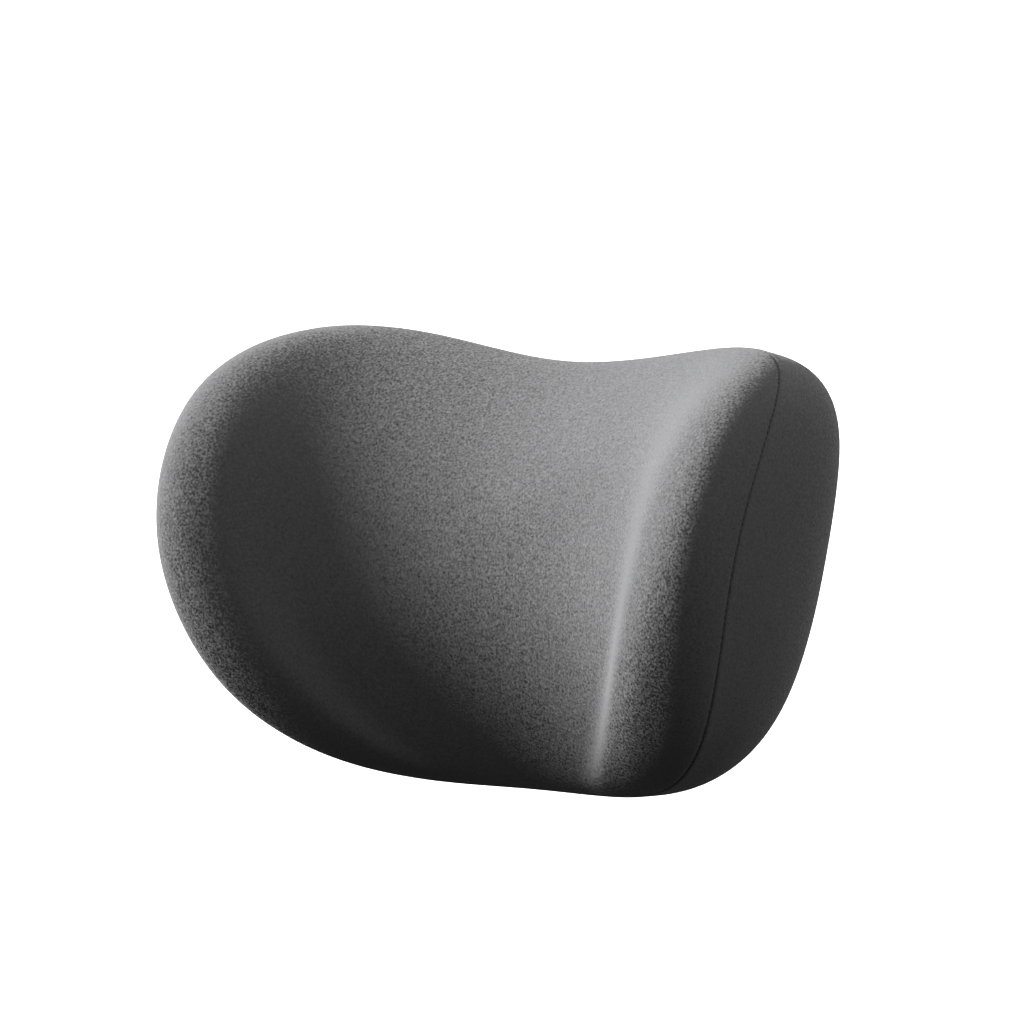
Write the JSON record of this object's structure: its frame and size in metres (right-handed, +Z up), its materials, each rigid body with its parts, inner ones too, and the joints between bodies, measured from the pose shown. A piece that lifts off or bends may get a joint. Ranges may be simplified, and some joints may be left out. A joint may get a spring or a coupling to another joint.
{
  "type": "chair headrest attachment",
  "caption": "Winged, fabric-covered foam headrest pad on a tilting hinge and a height-adjustable stem, with a slotted plate to bolt it behind an office chair's back.",
  "frame": {"origin": "centre of the mounting plate's rear face, between its two slots, on the plane that lies against the chair's back", "axes": "+Z up, +X across the chair to the sitter's left as seen from the front of the pad, -Y towards the sitter's head; +Y leaves the mounting face"},
  "size_m": [0.3056, 0.1778, 0.191],
  "materials": {
    "cover_fabric": "matte suede-like knit, dark charcoal",
    "foam": "open-cell moulded foam",
    "plywood": "raw",
    "black_nylon": "fine moulded texture",
    "acetal": "smooth",
    "black_steel": "powder coated",
    "zinc_steel": "zinc plated",
    "cast_aluminium": "bead blasted casting"
  },
  "bodies": {
    "base": {"mount_plate": "black_steel", "housing_body": "black_nylon", "housing_cover": "black_nylon", "guide_liner_left": "acetal", "guide_liner_right": "acetal", "top_collar": "black_nylon", "latch_spring": "zinc_steel", "housing_screw_1": "zinc_steel", "housing_screw_2": "zinc_steel", "housing_screw_3": "zinc_steel", "housing_screw_4": "zinc_steel"},
    "slider": {"neck": "cast_aluminium", "hinge_bush_left": "acetal", "hinge_bush_right": "acetal", "stem": "black_steel", "stem_end_cap": "black_nylon", "stop_screw": "zinc_steel", "neck_screw_1": "zinc_steel", "neck_screw_2": "zinc_steel"},
    "pad": {"front_cover": "cover_fabric", "rear_cover": "cover_fabric", "foam_core": "foam", "insert_board": "plywood", "hinge_dish": "black_nylon", "hinge_bracket": "black_steel", "hinge_bolt": "zinc_steel", "hinge_nut": "zinc_steel", "disc_spring_1": "zinc_steel", "disc_spring_2": "zinc_steel", "tee_nut_1": "zinc_steel", "tee_nut_2": "zinc_steel", "tee_nut_3": "zinc_steel", "tee_nut_4": "zinc_steel", "bracket_screw_1": "zinc_steel", "bracket_screw_2": "zinc_steel", "bracket_screw_3": "zinc_steel", "bracket_screw_4": "zinc_steel"},
    "latch": {"latch_plate": "zinc_steel", "release_button": "black_nylon"}
  },
  "joints": [
    {"name": "height", "type": "slide", "parent": "base", "child": "slider", "axis": [0, 0, 1], "range_m": [0, 0.048]},
    {"name": "tilt", "type": "hinge", "parent": "slider", "child": "pad", "pos_m": [0, -0.036, 0.051], "axis": [1, 0, 0], "range_deg": [-28, 16]},
    {"name": "release", "type": "slide", "parent": "base", "child": "latch", "axis": [-1, 0, 0], "range_m": [0, 0.004], "stiffness_N_per_m": 800, "springref_m": -0.003, "deforming": ["latch_spring"]}
  ]
}
